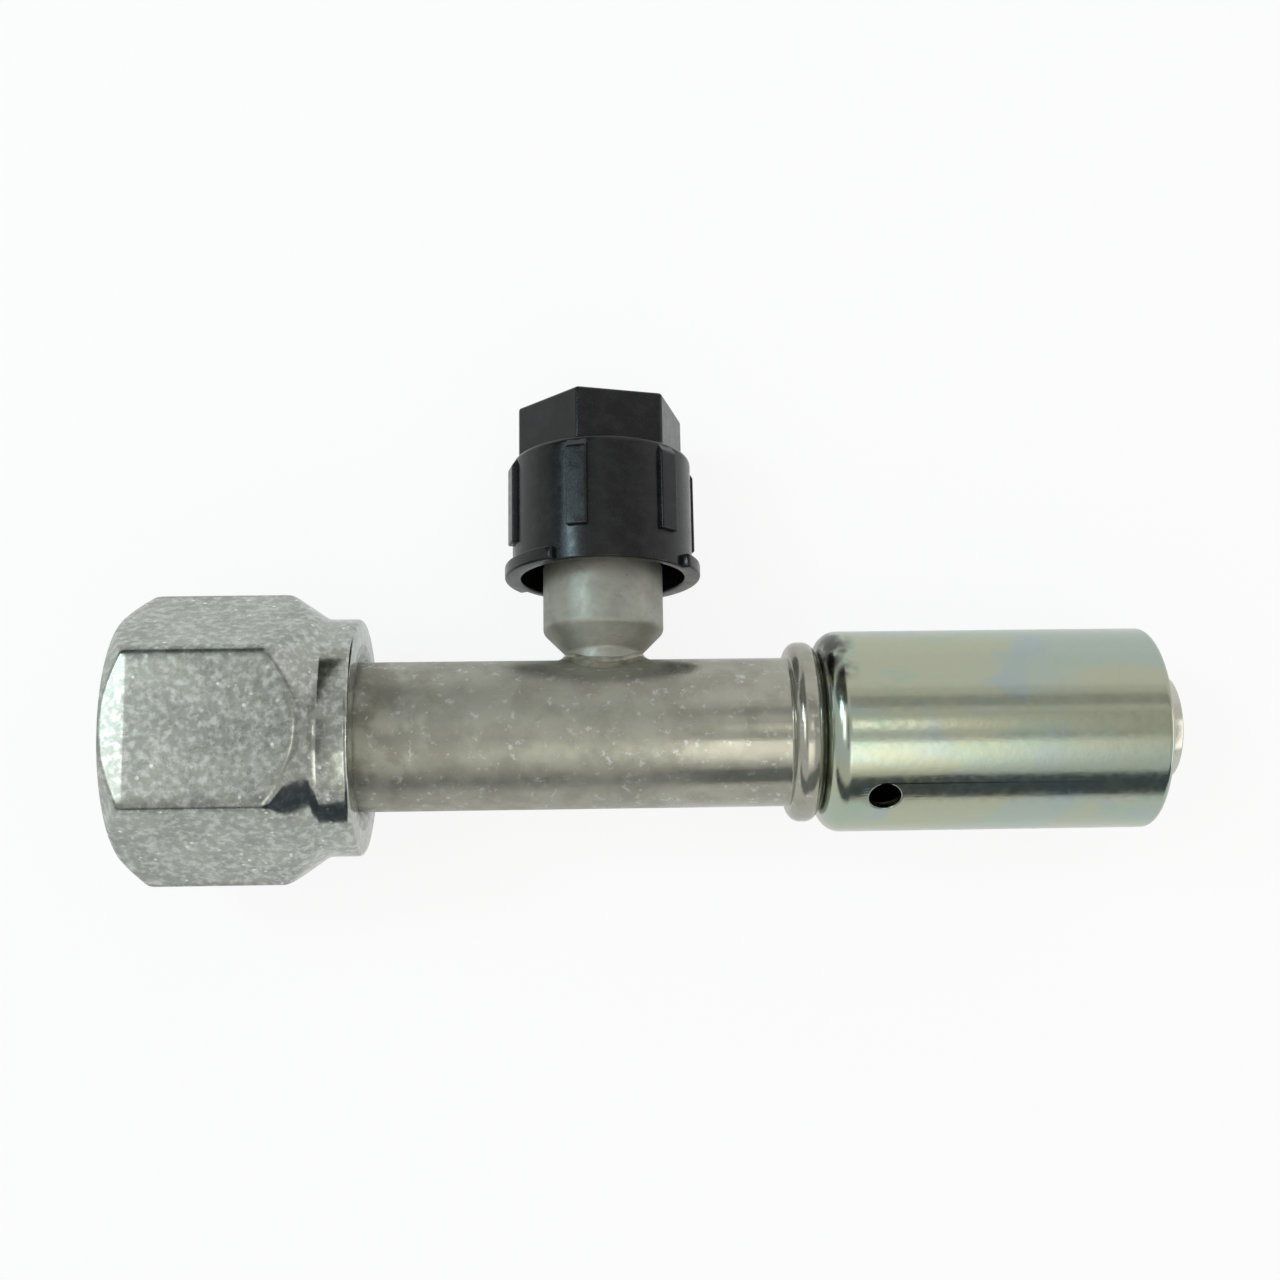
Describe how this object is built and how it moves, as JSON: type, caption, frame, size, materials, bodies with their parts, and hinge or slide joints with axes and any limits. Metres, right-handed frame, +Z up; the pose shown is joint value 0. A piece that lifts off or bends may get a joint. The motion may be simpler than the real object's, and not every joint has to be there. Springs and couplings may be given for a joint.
{
  "type": "air conditioning hose fitting",
  "caption": "Straight O-ring hose fitting: swivel hex nut, aluminium tube with a capped service port and valve core, bead and crimp ferrule over a grooved hose stem.",
  "frame": {"origin": "centre of the swivel nut's open face, on the tube's axis", "axes": "+X along the tube towards the hose end, +Z up from the surface that the fitting lies on; the service port points to +Y and leans down a little"},
  "size_m": [0.1106, 0.0522, 0.027],
  "materials": {
    "nut_steel": "zinc plated, scuffed flats",
    "tube_aluminium": "dull, softly streaked",
    "seal_rubber": "moulded, matt",
    "ferrule_steel": "zinc plated with a pale yellow-green film",
    "port_aluminium": "dull, turned",
    "braze": "run smooth",
    "core_brass": "turned",
    "gasket_plastic": "plain",
    "core_steel": "bright",
    "cap_plastic": "moulded, fine grain"
  },
  "bodies": {
    "fitting": {"tube_stem": "tube_aluminium", "pilot_oring": "seal_rubber", "ferrule": "ferrule_steel", "service_port": "port_aluminium", "braze_ring": "braze", "core_plug": "core_brass", "core_barrel": "core_brass", "core_gasket": "gasket_plastic", "core_spring": "core_steel"},
    "nut": {"swivel_nut": "nut_steel"},
    "seal": {"cap_seal": "seal_rubber"},
    "cap": {"port_cap": "cap_plastic"},
    "pin": {"valve_pin": "core_steel", "pin_foot": "core_brass", "pin_seal": "seal_rubber"}
  },
  "joints": [
    {"name": "nut_spin", "type": "hinge", "parent": "fitting", "child": "nut", "pos_m": [0.0205, 0, 0], "axis": [1, 0, 0], "continuous": true},
    {"name": "cap_lift", "type": "slide", "parent": "fitting", "child": "seal", "axis": [0, 0.9971, -0.0757], "range_m": [0, 0.005]},
    {"name": "cap_turn", "type": "hinge", "parent": "seal", "child": "cap", "pos_m": [0.0499, 0.02991, -0.00227], "axis": [0, 0.9971, -0.0757], "range_deg": [0, 1800]},
    {"name": "pin_press", "type": "slide", "parent": "fitting", "child": "pin", "axis": [0, -0.9971, 0.0757], "range_m": [0, 0.0012], "stiffness_N_per_m": 1200, "springref_m": -0.002, "deforming": ["core_spring"]}
  ],
  "couplings": [
    {"joint": "cap_lift", "follows": "cap_turn", "m_per_rad": 0.00015915}
  ]
}
